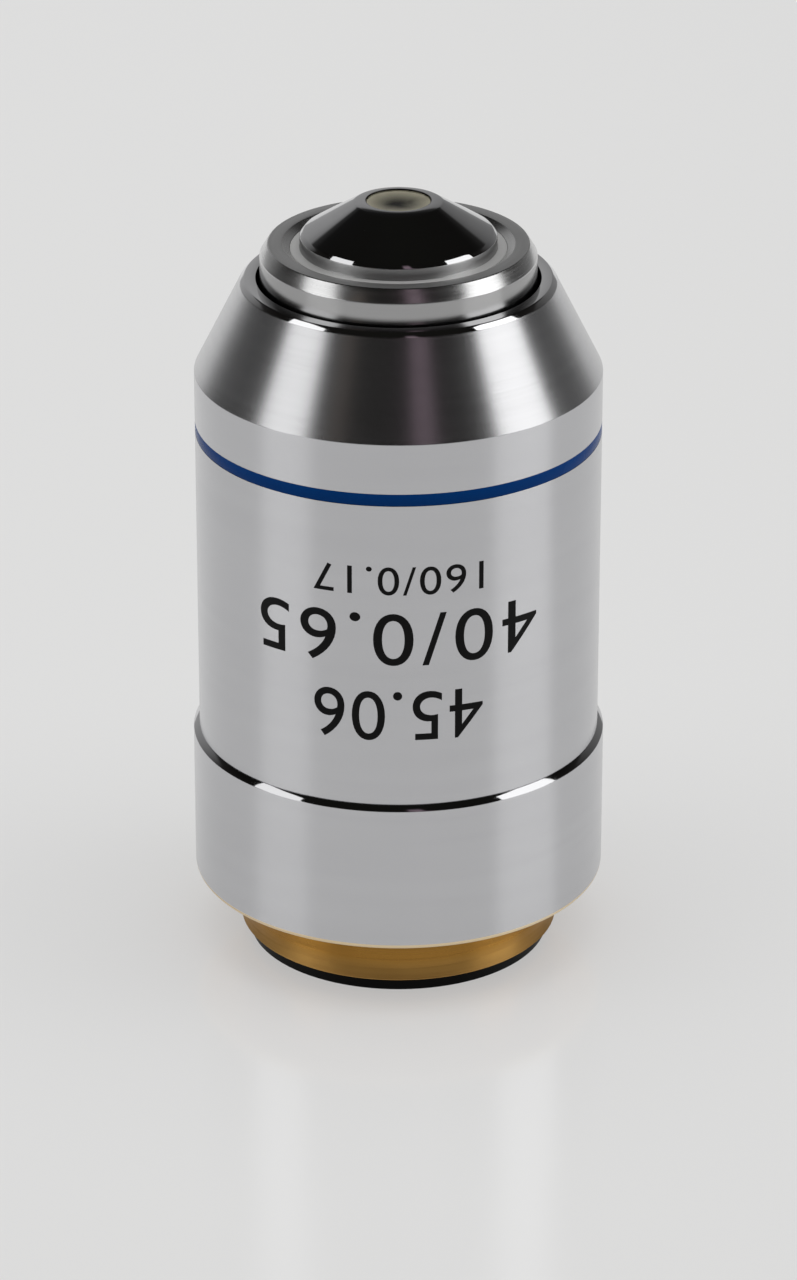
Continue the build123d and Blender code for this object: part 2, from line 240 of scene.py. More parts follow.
def middle(face):
    """Radius and height of a face's middle in mm."""
    centre = face.calc_center_median()
    return centre.xy.length / MM, centre.z / MM


def outward(face):
    """How far a face looks away from the axis: below zero in a bore."""
    return face.normal.xy.dot(face.calc_center_median().xy)


def hollow(vertex_z, outwards):
    """Points of a hollow lens face from axis to rim, or back, as (radius, height)."""
    points = []
    for step in range(LENS_STEPS + 1):
        r = LENS_RADIUS * step / LENS_STEPS
        points.append((r, vertex_z + LENS_HOLLOW - math.sqrt(LENS_HOLLOW ** 2 - r ** 2)))
    return points if outwards else points[::-1]


# Shader nodes


def new_group(name, inputs, outputs):
    """A node group with named sockets, with its entry and its exit."""
    group = bpy.data.node_groups.new(name, "ShaderNodeTree")
    for label, kind, value in inputs:
        socket = group.interface.new_socket(label, in_out="INPUT", socket_type=kind)
        if value is not None:
            socket.default_value = value
    for label, kind in outputs:
        group.interface.new_socket(label, in_out="OUTPUT", socket_type=kind)
    entry = group.nodes.new("NodeGroupInput")
    leave = group.nodes.new("NodeGroupOutput")
    return group, entry, leave


def math_node(tree, operation, first, second=None):
    """The result of a sum on sockets or plain numbers."""
    node = tree.nodes.new("ShaderNodeMath")
    node.operation = operation
    for socket, value in zip(node.inputs, (first, second)):
        if value is None:
            continue
        if isinstance(value, (int, float)):
            socket.default_value = value
        else:
            tree.links.new(value, socket)
    return node.outputs[0]


def ranged(tree, value, low, high, first=0.0, last=1.0):
    """A value that goes from low to high while its input goes from first to last."""
    node = tree.nodes.new("ShaderNodeMapRange")
    node.inputs["From Min"].default_value = first
    node.inputs["From Max"].default_value = last
    node.inputs["To Min"].default_value = low
    node.inputs["To Max"].default_value = high
    tree.links.new(value, node.inputs["Value"])
    return node.outputs[0]


def mixed(tree, mask, first, second):
    """A colour between two, by a mask."""
    node = tree.nodes.new("ShaderNodeMix")
    node.data_type = "RGBA"
    tree.links.new(mask, node.inputs["Factor"])
    for place, value in ((6, first), (7, second)):
        if isinstance(value, tuple):
            node.inputs[place].default_value = (*value, 1)
        else:
            tree.links.new(value, node.inputs[place])
    return node.outputs[2]


def split_axes(tree, vector):
    """The x, y and z of a vector."""
    node = tree.nodes.new("ShaderNodeSeparateXYZ")
    tree.links.new(vector, node.inputs[0])
    return node.outputs


def from_axis(tree, axes):
    """The distance from the upright axis."""
    square = math_node(tree, "ADD", math_node(tree, "MULTIPLY", axes[0], axes[0]),
                       math_node(tree, "MULTIPLY", axes[1], axes[1]))
    return math_node(tree, "SQRT", square)


def make_lathe_group():
    """Fine marks that run round the axis, and softer bands that run with them."""
    group, entry, leave = new_group(
        "lathe marks",
        [("Position", "NodeSocketVector", None), ("Lines", "NodeSocketFloat", 9000.0),
         ("Drift", "NodeSocketFloat", 60.0)],
        [("Mark", "NodeSocketFloat"), ("Band", "NodeSocketFloat")])
    links = group.links
    axes = split_axes(group, entry.outputs["Position"])
    along = math_node(group, "SUBTRACT", axes[2], from_axis(group, axes))
    for label, share, detail in (("Mark", 1.0, 3.0), ("Band", 0.12, 1.0)):
        join = group.nodes.new("ShaderNodeCombineXYZ")
        links.new(math_node(group, "MULTIPLY", axes[0], entry.outputs["Drift"]), join.inputs[0])
        links.new(math_node(group, "MULTIPLY", axes[1], entry.outputs["Drift"]), join.inputs[1])
        lines = math_node(group, "MULTIPLY", entry.outputs["Lines"], share)
        links.new(math_node(group, "MULTIPLY", along, lines), join.inputs[2])
        noise = group.nodes.new("ShaderNodeTexNoise")
        noise.inputs["Scale"].default_value = 1.0
        noise.inputs["Detail"].default_value = detail
        links.new(join.outputs[0], noise.inputs["Vector"])
        links.new(noise.outputs["Fac"], leave.inputs[label])
    return group


def make_handling_group():
    """Faint cloudy smudges and small specks of dust."""
    group, entry, leave = new_group(
        "handling",
        [("Position", "NodeSocketVector", None), ("Cloud Size", "NodeSocketFloat", 260.0),
         ("Speck Size", "NodeSocketFloat", 1500.0)],
        [("Smudge", "NodeSocketFloat"), ("Speck", "NodeSocketFloat")])
    links = group.links
    cloud = group.nodes.new("ShaderNodeTexNoise")
    cloud.inputs["Detail"].default_value = 1.5
    links.new(entry.outputs["Position"], cloud.inputs["Vector"])
    links.new(entry.outputs["Cloud Size"], cloud.inputs["Scale"])
    links.new(ranged(group, cloud.outputs["Fac"], 0.0, 1.0, 0.5, 0.75), leave.inputs["Smudge"])
    cells = group.nodes.new("ShaderNodeTexVoronoi")
    links.new(entry.outputs["Position"], cells.inputs["Vector"])
    links.new(entry.outputs["Speck Size"], cells.inputs["Scale"])
    links.new(ranged(group, cells.outputs["Distance"], 0.0, 1.0, 0.09, 0.04), leave.inputs["Speck"])
    return group


lathe_group = make_lathe_group()
handling_group = make_handling_group()


def place_group(tree, group, position, **values):
    """Places a shared group in a material, with the material's own values."""
    node = tree.nodes.new("ShaderNodeGroup")
    node.node_tree = group
    tree.links.new(position, node.inputs["Position"])
    for label, value in values.items():
        node.inputs[label.replace("_", " ")].default_value = value
    return node


# Finishes


def new_material(name):
    """An empty finish, with its shader and the place on the piece."""
    material = bpy.data.materials.new(name)
    material.use_nodes = True
    tree = material.node_tree
    shader = tree.nodes["Principled BSDF"]
    place = tree.nodes.new("ShaderNodeTexCoord")
    return material, tree, shader, place.outputs["Object"]


def turned_metal(name, colour, dark, roughness, spread, lines, relief, anisotropy, smudge=0.04, metallic=1.0,
                 rough_foot_with_painted_highlight=None):
    """Metal with marks of the lathe: slightly uneven colour, uneven gloss and a fine relief.

    A rough_foot_with_painted_highlight is a height in mm, a height above it, how much rougher the metal gets
    from the upper to the lower, and the paler colour painted on towards the lower as a highlight.
    """
    material, tree, shader, position = new_material(name)
    marks = place_group(tree, lathe_group, position, Lines=lines)
    wear = place_group(tree, handling_group, position)
    tone = mixed(tree, ranged(tree, marks.outputs["Band"], 0, 1, 0.3, 0.7), colour, dark)
    gloss = math_node(tree, "ADD",
                      ranged(tree, marks.outputs["Mark"], roughness - spread, roughness + spread, 0.3, 0.7),
                      math_node(tree, "MULTIPLY", wear.outputs["Smudge"], smudge))
    if rough_foot_with_painted_highlight:
        low, high, rougher, pale = rough_foot_with_painted_highlight
        share = ranged(tree, split_axes(tree, position)[2], 1.0, 0.0, low * MM, high * MM)
        gloss = math_node(tree, "ADD", gloss, math_node(tree, "MULTIPLY", share, rougher))
        # Painted highlight: the lower part of the metal is given a paler colour where more light reaches it
        tone = mixed(tree, share, tone, pale)
    tree.links.new(tone, shader.inputs["Base Color"])
    tree.links.new(gloss, shader.inputs["Roughness"])
    shader.inputs["Metallic"].default_value = metallic
    shader.inputs["Anisotropic"].default_value = anisotropy
    shader.inputs["Anisotropic Rotation"].default_value = 0.25
    round_axis = tree.nodes.new("ShaderNodeTangent")
    round_axis.direction_type = "RADIAL"
    round_axis.axis = "Z"
    tree.links.new(round_axis.outputs[0], shader.inputs["Tangent"])
    bump = tree.nodes.new("ShaderNodeBump")
    bump.inputs["Strength"].default_value = relief
    bump.inputs["Distance"].default_value = 0.01 * MM
    tree.links.new(marks.outputs["Mark"], bump.inputs["Height"])
    tree.links.new(bump.outputs[0], shader.inputs["Normal"])
    return material


def painted(name, colour, other, roughness, specular):
    """Paint or a black finish, a little uneven in colour and gloss."""
    material, tree, shader, position = new_material(name)
    wear = place_group(tree, handling_group, position, Cloud_Size=420.0)
    tree.links.new(mixed(tree, wear.outputs["Smudge"], colour, other), shader.inputs["Base Color"])
    tree.links.new(ranged(tree, wear.outputs["Smudge"], roughness * 0.85, roughness * 1.2),
                   shader.inputs["Roughness"])
    shader.inputs["Specular IOR Level"].default_value = specular
    return material


def lens_glass(name, colour, other, refraction, roughness):
    """Polished glass with a faint coating and a little dust."""
    material, tree, shader, position = new_material(name)
    wear = place_group(tree, handling_group, position, Cloud_Size=500.0, Speck_Size=3000.0)
    tree.links.new(mixed(tree, wear.outputs["Smudge"], colour, other), shader.inputs["Base Color"])
    tree.links.new(ranged(tree, wear.outputs["Speck"], roughness, roughness + 0.1),
                   shader.inputs["Roughness"])
    shader.inputs["IOR"].default_value = refraction
    shader.inputs["Transmission Weight"].default_value = 1.0
    return material


def painted_depth_gradient(name, centre, rim, low, high):
    """Painted shade and reflection for what the front lens shows in its depths: dark on the axis, paler from
    one radius in mm to another.
    """
    material, tree, shader, position = new_material(name)
    wear = place_group(tree, handling_group, position, Cloud_Size=900.0)
    radius = from_axis(tree, split_axes(tree, position))
    share = math_node(tree, "POWER", ranged(tree, radius, 0.0, 1.0, low * MM, high * MM), 1.5)
    uneven = math_node(tree, "SUBTRACT", share, math_node(tree, "MULTIPLY", wear.outputs["Smudge"], 0.12))
    tree.links.new(mixed(tree, uneven, centre, rim), shader.inputs["Base Color"])
    shader.inputs["Roughness"].default_value = 0.6
    shader.inputs["Specular IOR Level"].default_value = 0.1
    return material


satin_chrome = turned_metal(
    "satin chrome", (0.585, 0.585, 0.60), (0.57, 0.57, 0.585),
    roughness=0.245, spread=0.010, lines=9000.0, relief=0.012, anisotropy=0.62, smudge=0.008)
polished_chrome = turned_metal(
    "polished chrome", (0.62, 0.62, 0.63), (0.60, 0.60, 0.61),
    roughness=0.25, spread=0.018, lines=9000.0, relief=0.011, anisotropy=0.42, smudge=0.0)
# Lip chrome, brightened beyond plain chrome as a painted highlight
highlight_lip_chrome = turned_metal(
    "polished lip chrome, brightened as painted highlight", (0.78, 0.78, 0.79), (0.75, 0.75, 0.76),
    roughness=0.05, spread=0.015, lines=7000.0, relief=0.03, anisotropy=0.3)
bright_chrome = turned_metal(
    "bright chrome", (0.62, 0.62, 0.63), (0.60, 0.60, 0.61),
    roughness=0.05, spread=0.015, lines=8000.0, relief=0.03, anisotropy=0.3)
# Nose rim chrome: partly a duller turned finish, partly darkened as painted shade
duller_shaded_nose_chrome = turned_metal(
    "turned nose chrome, duller and darkened as painted shade", (0.42, 0.42, 0.42), (0.39, 0.39, 0.39),
    roughness=0.20, spread=0.03, lines=6000.0, relief=0.06, anisotropy=0.6)
# Nose chamfer chrome, brightened beyond plain chrome as a painted highlight
highlight_chamfer_chrome = turned_metal(
    "polished nose chamfer, brightened as painted highlight", (0.76, 0.76, 0.76), (0.72, 0.72, 0.72),
    roughness=0.24, spread=0.03, lines=9000.0, relief=0.03, anisotropy=0.2)
face_chrome = turned_metal(
    "faced nose chrome", (0.56, 0.56, 0.56), (0.53, 0.53, 0.53),
    roughness=0.35, spread=0.04, lines=6000.0, relief=0.06, anisotropy=0.0, metallic=0.85)
frosted_chrome = turned_metal(
    "frosted chrome ledge", (0.84, 0.84, 0.83), (0.78, 0.78, 0.77),
    roughness=0.42, spread=0.05, lines=5000.0, relief=0.10, anisotropy=0.0, metallic=0.58)
dull_chrome = turned_metal(
    "dull chrome collar", (0.50, 0.50, 0.50), (0.46, 0.46, 0.46),
    roughness=0.38, spread=0.04, lines=5000.0, relief=0.08, anisotropy=0.3)
# Brass, rougher towards its lower end, where a paler colour is painted on as a highlight
brass_with_painted_highlight = turned_metal(
    "bare brass with a painted highlight low down", (0.40, 0.205, 0.043), (0.36, 0.18, 0.036),
    roughness=0.26, spread=0.04, lines=5000.0, relief=0.08, anisotropy=0.88, smudge=0.08,
    rough_foot_with_painted_highlight=(-3.6, -2.2, 0.38, (0.60, 0.36, 0.11)))
# Pale brassy colour for the rounded lower edge of the base, which makes it show as a bright line
pale_brassy_edge = turned_metal(
    "pale brassy lower edge", (0.84, 0.70, 0.47), (0.78, 0.62, 0.40),
    roughness=0.30, spread=0.05, lines=5000.0, relief=0.05, anisotropy=0.3)
blackened_brass = turned_metal(
    "blackened brass", (0.035, 0.033, 0.03), (0.02, 0.02, 0.02),
    roughness=0.45, spread=0.05, lines=5000.0, relief=0.15, anisotropy=0.3)
drawn_steel = turned_metal(
    "drawn steel wire", (0.5, 0.5, 0.5), (0.42, 0.42, 0.43),
    roughness=0.32, spread=0.06, lines=4000.0, relief=0.10, anisotropy=0.0)
black_anodised = painted("black anodised", (0.010, 0.011, 0.010), (0.018, 0.018, 0.017),
                         roughness=0.42, specular=0.4)
rear_black = painted("black rear finish", (0.004, 0.0045, 0.004), (0.007, 0.007, 0.007),
                     roughness=0.35, specular=0.08)
blue_enamel = painted("blue enamel", (0.001, 0.062, 0.285), (0.002, 0.068, 0.30),
                      roughness=0.30, specular=0.05)
black_fill = painted("black numeral fill", (0.006, 0.006, 0.006), (0.010, 0.010, 0.010),
                     roughness=0.45, specular=0.10)
# Painted shade and reflection: a dark centre and a pale rim painted behind the front lens
lens_painted_depths = painted_depth_gradient("painted shade and reflection in the front lens", (0.006, 0.006, 0.005), (0.38, 0.36, 0.285),
                     low=0.05, high=1.9)
front_glass = lens_glass("front lens glass", (0.95, 0.95, 0.92), (0.92, 0.92, 0.88),
                         refraction=1.08, roughness=0.05)
inner_glass = lens_glass("inner lens glass", (0.93, 0.96, 0.95), (0.90, 0.94, 0.93),
                         refraction=1.55, roughness=0.02)


# Base sleeve below the seam: satin outside, a bright chamfer on top, a pale brassy colour on the rounded
# lower edge
base_shape = turned([
    (SHOULDER_BORE, 0, 0.03),
    (BASE_RADIUS, 0, BASE_ROUNDING, 6),
    (BASE_RADIUS, BASE_TOP - BASE_CHAMFER, 0.03),
    (SLEEVE_RADIUS + 0.01, BASE_TOP, 0.02),
    (BASE_BORE, BASE_TOP),
    (BASE_BORE, SHOULDER_TOP),
    (SHOULDER_BORE, SHOULDER_TOP),
])


def base_finish(face):
    if face.normal.z < -0.95:
        return 2
    # Down-facing rounded edge: the pale brassy colour, which shows as a bright line
    if face.normal.z < -0.1:
        return 3
    return 1 if middle(face)[1] > BASE_TOP - BASE_CHAMFER + 0.01 else 0


piece("chrome_base_sleeve", base_shape, [satin_chrome, bright_chrome, brass_with_painted_highlight, pale_brassy_edge],
      ["base_sleeve"], "mount", base_finish)

# Long sleeve: satin barrel with its ring groove, polished cone, a lip in chrome brightened as a painted
# highlight, black bore
sleeve_shape = turned([
    (SLEEVE_BORE, SLEEVE_BOTTOM),
    (SPIGOT_RADIUS, SLEEVE_BOTTOM),
    (SPIGOT_RADIUS, BASE_TOP),
    (SLEEVE_RADIUS, BASE_TOP, 0.04),
    (SLEEVE_RADIUS, RING_BOTTOM - RING_GAP, 0.015),
    (SLEEVE_RADIUS - GROOVE_DEPTH, RING_BOTTOM - RING_GAP),
    (SLEEVE_RADIUS - GROOVE_DEPTH, RING_TOP + RING_GAP),
    (SLEEVE_RADIUS, RING_TOP + RING_GAP, 0.015),
    (SLEEVE_RADIUS, CONE_BASE, 0.03),
    (CONE_TOP_RADIUS + CONE_SLOPE * LIP_BREAK, LIP - LIP_BREAK, 0.05),
    (LIP_FLAT_RADIUS, LIP, 0.06, 4),
    (LIP_BORE, LIP, 0.015),
    (LIP_BORE, SLEEVE_BORE_TOP),
    (SLEEVE_BORE, SLEEVE_BORE_TOP),
])


def sleeve_finish(face):
    radius, height = middle(face)
    if radius < SLEEVE_BORE + 0.05 and height < LIP - 0.5 and outward(face) <= 0:
        return 2
    # The lip takes chrome brightened as a painted highlight
    if height > LIP - LIP_BREAK + 0.01:
        return 3
    return 1 if height > CONE_BASE + 0.002 else 0


piece("chrome_outer_sleeve", sleeve_shape, [satin_chrome, polished_chrome, blackened_brass, highlight_lip_chrome],
      ["outer_sleeve"], "mount", sleeve_finish)

# Blue ring, flush in its groove
ring_shape = turned([
    (SLEEVE_RADIUS - GROOVE_DEPTH + RING_GAP, RING_BOTTOM),
    (SLEEVE_RADIUS - RING_SINK, RING_BOTTOM, 0.02),
    (SLEEVE_RADIUS - RING_SINK, RING_TOP, 0.02),
    (SLEEVE_RADIUS - GROOVE_DEPTH + RING_GAP, RING_TOP),
])
piece("blue_ring", ring_shape, [blue_enamel], ["colour_ring"], "mount")

# Nose ring that slides in the lip
nose_shape = turned([
    (NOSE_BORE, NOSE_BOTTOM),
    (NOSE_RELIEF_RADIUS, NOSE_BOTTOM, 0.05),
    (NOSE_RELIEF_RADIUS, NOSE_RIM),
    (NOSE_EDGE, NOSE_RIM, 0.15),
    (NOSE_EDGE, NOSE_FLAT - NOSE_CHAMFER_HEIGHT, 0.06),
    (NOSE_EDGE - NOSE_CHAMFER_WIDTH, NOSE_FLAT, 0.06),
    (COUNTERSINK_RADIUS, NOSE_FLAT, 0.03),
    (NOSE_HOLE, NOSE_FLAT - COUNTERSINK_DEPTH, 0.02),
    (NOSE_HOLE, NOSE_SEAT),
    (NOSE_BORE, NOSE_SEAT),
])


def nose_finish(face):
    radius, height = middle(face)
    if height < NOSE_RIM - 0.01 or radius < NOSE_HOLE + 0.005:
        return 2
    if radius < NOSE_FACE_RADIUS and height > NOSE_FLAT - 0.02:
        return 1
    # Chamfer in chrome brightened as painted highlight; rim in chrome darkened, partly as painted shade
    return 3 if radius < NOSE_EDGE - 0.01 else 0


piece("chrome_nose_ring", nose_shape, [duller_shaded_nose_chrome, face_chrome, blackened_brass, highlight_chamfer_chrome],
      ["nose_ring"], "lens_carriage", nose_finish)

# Front cell: frosted ledge, dull collar and bright cone with a crowned tip
cell_shape = turned([
    (CELL_BORE, CELL_BOTTOM),
    (CELL_RADIUS, CELL_BOTTOM, 0.05),
    (CELL_RADIUS, CELL_FLANGE_BOTTOM),
    (CELL_FLANGE_RADIUS, CELL_FLANGE_BOTTOM),
    (CELL_FLANGE_RADIUS, NOSE_SEAT),
    (LEDGE_RADIUS, NOSE_SEAT),
    (LEDGE_RADIUS, NOSE_FLAT - COUNTERSINK_DEPTH, 0.02),
    (COLLAR_RADIUS, NOSE_FLAT - LEDGE_DEPTH, 0.06),
    (COLLAR_RADIUS, COLLAR_TOP, 0.05),
    (CELL_CONE_RADIUS, CELL_CONE_BOTTOM, 0.05),
    (TIP_RADIUS, TIP_EDGE, 0.10, 4),
    (LENS_RADIUS + LENS_CLEARANCE, TIP_CROWN, 0.04),
    (LENS_RADIUS + LENS_CLEARANCE, LENS_SEAT),
    (LENS_RADIUS - LENS_SEAT_WIDTH, LENS_SEAT),
    (LENS_RADIUS - LENS_SEAT_WIDTH, LENS_SEAT - LENS_SEAT_HEIGHT),
    (CELL_BORE, CELL_FLANGE_BOTTOM),
])


def cell_finish(face):
    radius, height = middle(face)
    if radius > COLLAR_RADIUS + 0.03 and NOSE_FLAT - COUNTERSINK_DEPTH - 0.02 < height < NOSE_FLAT:
        return 2
    if radius > COLLAR_RADIUS - 0.05 and NOSE_FLAT - LEDGE_DEPTH - 0.01 < height < COLLAR_TOP + 0.02:
        return 3
    return 1 if outward(face) < -1e-9 or height < NOSE_SEAT + 0.2 else 0


piece("chrome_front_cell", cell_shape, [bright_chrome, blackened_brass, frosted_chrome, dull_chrome],
      ["front_cell"], "lens_carriage", cell_finish)

# Front lens: thin coated glass over a back painted with the shade and reflection of its depths
lens_front = LENS_RIM - (LENS_HOLLOW - math.sqrt(LENS_HOLLOW ** 2 - LENS_RADIUS ** 2))
lens_shape = turned(hollow(lens_front - LENS_DEPTH, True) + hollow(lens_front, False), closed=False)
piece("glass_front_lens", lens_shape, [front_glass, lens_painted_depths], ["front_lens"],
      "lens_carriage", lambda face: 0 if face.normal.z > 0.5 else 1)

# Brass mount: turned body, with the thread wound on as one helical strip
mount_shape = turned([
    (THREAD_RADIUS - THREAD_RUNOUT, THREAD_END),
    (REAR_BORE, THREAD_END, 0.08),
    (REAR_BORE, REAR_BORE_TOP),
    (GUIDE_BORE, REAR_BORE_TOP),
    (GUIDE_BORE, GUIDE_TOP, 0.1),
    (GUIDE_RADIUS, GUIDE_TOP, 0.1),
    (GUIDE_RADIUS, STEM_TOP),
    (STEM_RADIUS, STEM_TOP, 0.1),
    (STEM_RADIUS, FLANGE_TOP),
    (SPIGOT_RADIUS, FLANGE_TOP),
    (SPIGOT_RADIUS, SHOULDER_TOP),
    (MOUNT_RADIUS, SHOULDER_TOP),
    (MOUNT_RADIUS, 0, 0.03),
    (THREAD_RADIUS + THREAD_RUNOUT, 0),
], closed=False)


def wound_thread():
    """One turn's outline, wound up the mount and cut off at both ends."""
    shape = bmesh.new()
    outline = [(0.0, 0.0), (0.0, 0.24), (-0.3 * THREAD_DEPTH, 0.28), (-THREAD_DEPTH, 0.353),
               (-0.3 * THREAD_DEPTH, 0.426), (0.0, 0.466), (0.0, THREAD_PITCH)]
    start = THREAD_END - 2 * THREAD_PITCH
    points = [shape.verts.new(((THREAD_RADIUS + depth) * MM, 0, (start + rise) * MM))
              for depth, rise in outline]
    lines = [shape.edges.new(pair) for pair in zip(points, points[1:])]
    bmesh.ops.spin(shape, geom=points + lines, cent=(0, 0, 0), axis=(0, 0, 1),
                   dvec=(0, 0, THREAD_PITCH * MM / THREAD_TURN_STEPS), angle=2 * math.pi * THREAD_TURNS,
                   steps=THREAD_TURNS * THREAD_TURN_STEPS, use_merge=False)
    bmesh.ops.remove_doubles(shape, verts=shape.verts, dist=2e-6)
    for height, keep in ((THREAD_TOP, 1), (THREAD_END + THREAD_RUNOUT, -1)):
        bmesh.ops.bisect_plane(shape, geom=shape.verts[:] + shape.edges[:] + shape.faces[:], dist=1e-8,
                               plane_co=(0, 0, height * MM), plane_no=(0, 0, keep), clear_outer=True)
    return shape


def open_ring(shape, height, lowest_radius, highest_radius):
    """Open edges near a height, within a range of radii, all in mm."""
    return [edge for edge in shape.edges if edge.is_boundary
            and all(abs(point.co.z / MM - height) < 0.03 for point in edge.verts)
            and all(lowest_radius < point.co.xy.length / MM < highest_radius for point in edge.verts)]


thread_shape = wound_thread()
thread_mesh = bpy.data.meshes.new("thread strip")
thread_shape.to_mesh(thread_mesh)
thread_shape.free()
mount_shape.from_mesh(thread_mesh)
bpy.data.meshes.remove(thread_mesh)
for thread_z, body_z, low, high in (
        (THREAD_TOP, 0.0, THREAD_RADIUS + 0.05, THREAD_RADIUS + 0.3),
        (THREAD_END + THREAD_RUNOUT, THREAD_END, THREAD_RADIUS - 0.2, THREAD_RADIUS - 0.05)):
    thread_rim = open_ring(mount_shape, thread_z, THREAD_RADIUS - 0.2, THREAD_RADIUS + 0.05)
    bmesh.ops.bridge_loops(mount_shape, edges=thread_rim + open_ring(mount_shape, body_z, low, high))
bmesh.ops.recalc_face_normals(mount_shape, faces=mount_shape.faces)
piece("brass_thread_mount", mount_shape, [brass_with_painted_highlight], ["thread_mount"], "mount")

# Return spring: one wire section wound up the guide
spring_shape = bmesh.new()
spring_bottom = GUIDE_TOP + SPRING_WIRE + SPRING_GAP
spring_height = COLLAR_BOTTOM - GUIDE_TOP - 2 * SPRING_WIRE - 2 * SPRING_GAP
bmesh.ops.create_circle(spring_shape, cap_ends=True, segments=12, radius=SPRING_WIRE * MM,
                        matrix=Matrix.Translation((SPRING_RADIUS * MM, 0, spring_bottom * MM))
                        @ Matrix.Rotation(math.radians(90), 4, "X"))
bmesh.ops.spin(spring_shape, geom=spring_shape.verts[:] + spring_shape.edges[:] + spring_shape.faces[:],
               cent=(0, 0, 0), axis=(0, 0, 1),
               dvec=(0, 0, spring_height / SPRING_TURNS * MM / SPRING_TURN_STEPS),
               angle=2 * math.pi * SPRING_TURNS, steps=SPRING_TURN_STEPS * SPRING_TURNS, use_merge=False)
bmesh.ops.remove_doubles(spring_shape, verts=spring_shape.verts, dist=1e-7)
bmesh.ops.recalc_face_normals(spring_shape, faces=spring_shape.faces)
spring = piece("steel_return_spring", spring_shape, [drawn_steel], ["return_spring"], "mount")
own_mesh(spring)


# Numerals on the barrel, which read with the thread upwards


def flat_figures(name, words, spacing):
    """Plain figures as a flat shape, centred on their own width."""
    curve = bpy.data.curves.new(name, "FONT")
    curve.body = words
    curve.align_x = "CENTER"
    curve.space_character = spacing
    curve.resolution_u = 8
    flat = bpy.data.objects.new(name, curve)
    bpy.context.collection.objects.link(flat)
    graph = bpy.context.evaluated_depsgraph_get()
    mesh = bpy.data.meshes.new_from_object(flat.evaluated_get(graph), depsgraph=graph)
    bpy.data.objects.remove(flat)
    bpy.data.curves.remove(curve)
    shape = bmesh.new()
    shape.from_mesh(mesh)
    bpy.data.meshes.remove(mesh)
    bmesh.ops.remove_doubles(shape, verts=shape.verts, dist=1e-5)
    return shape


def numerals(name, words, width, height, baseline, spacing):
    """Plain figures, filled black, wrapped round the barrel. Sizes in mm, baseline as a height."""
    shape = flat_figures(name, words, spacing)
    left = min(point.co.x for point in shape.verts)
    right = max(point.co.x for point in shape.verts)
    bottom = min(point.co.y for point in shape.verts)
    top = max(point.co.y for point in shape.verts)
    bmesh.ops.translate(shape, verts=shape.verts, vec=(-(left + right) / 2, 0, 0))
    bmesh.ops.scale(shape, verts=shape.verts, vec=(width / (right - left), height / (top - bottom), 1))
    strips = int(width / NUMERAL_STRIP)
    for strip in range(1, strips):
        bmesh.ops.bisect_plane(shape, geom=shape.verts[:] + shape.edges[:] + shape.faces[:], dist=1e-6,
                               plane_co=(width * (strip / strips - 0.5), 0, 0), plane_no=(1, 0, 0))
    raised = bmesh.ops.extrude_face_region(shape, geom=shape.faces[:])
    lifted = [item for item in raised["geom"] if isinstance(item, bmesh.types.BMVert)]
    bmesh.ops.translate(shape, verts=lifted, vec=(0, 0, NUMERAL_THICKNESS))
    bmesh.ops.recalc_face_normals(shape, faces=shape.faces)
    for point in shape.verts:
        angle = -point.co.x / SLEEVE_RADIUS
        reach = SLEEVE_RADIUS - NUMERAL_SINK + point.co.z
        point.co = Vector((reach * math.sin(angle), -reach * math.cos(angle), baseline - point.co.y)) * MM
    bmesh.ops.recalc_face_normals(shape, faces=shape.faces)
    return piece(name, shape, [black_fill], [], "mount")


numerals("small_numerals", "160/0.17", width=10.6, height=1.85, baseline=25.8, spacing=1.08)
numerals("large_numerals", "40/0.65", width=18.4, height=3.45, baseline=22.7, spacing=1.12)
numerals("lower_numerals", "45.06", width=10.6, height=3.3, baseline=17.5, spacing=1.05)


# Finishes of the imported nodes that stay
own_finishes = {"guide_screw": drawn_steel, "lens_barrel": blackened_brass, "rear_stop": rear_black}
for name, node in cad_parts.items():
    if name in own_finishes:
        finish = own_finishes[name]
    elif name.endswith("_cell") or name.startswith("spacer_"):
        finish = black_anodised
    else:
        finish = inner_glass
    node.data.materials.clear()
    node.data.materials.append(finish)


# Pale floor, which the camera and the metal see a little brighter than the lamps light it
floor_shape = bmesh.new()
bmesh.ops.create_circle(floor_shape, cap_ends=True, segments=96, radius=FLOOR_RADIUS,
                        matrix=Matrix.Translation((0, 0, REAR_END * MM - FLOOR_DROP)))
floor_mesh = bpy.data.meshes.new("floor")
floor_shape.to_mesh(floor_mesh)
floor_shape.free()
floor_material, floor_tree, floor_shader, floor_place = new_material("pale acrylic floor")
floor_cloud = place_group(floor_tree, handling_group, floor_place, Cloud_Size=4.0)
floor_tone = mixed(floor_tree, floor_cloud.outputs["Smudge"], (0.37, 0.37, 0.365), (0.36, 0.36, 0.355))
floor_tree.links.new(floor_tone, floor_shader.inputs["Base Color"])
floor_shader.inputs["Roughness"].default_value = 0.16
floor_shader.inputs["Specular IOR Level"].default_value = 0.4
floor_ray = floor_tree.nodes.new("ShaderNodeLightPath")
floor_seen = math_node(floor_tree, "MAXIMUM", floor_ray.outputs["Is Camera Ray"], math_node(
    floor_tree, "MAXIMUM", floor_ray.outputs["Is Glossy Ray"], floor_ray.outputs["Is Transmission Ray"]))
floor_tree.links.new(floor_seen, floor_shader.inputs["Emission Strength"])
floor_shader.inputs["Emission Color"].default_value = (FLOOR_GLOW, FLOOR_GLOW, FLOOR_GLOW, 1)
floor_mesh.materials.append(floor_material)
floor = bpy.data.objects.new("floor", floor_mesh)
bpy.context.collection.objects.link(floor)


# Light


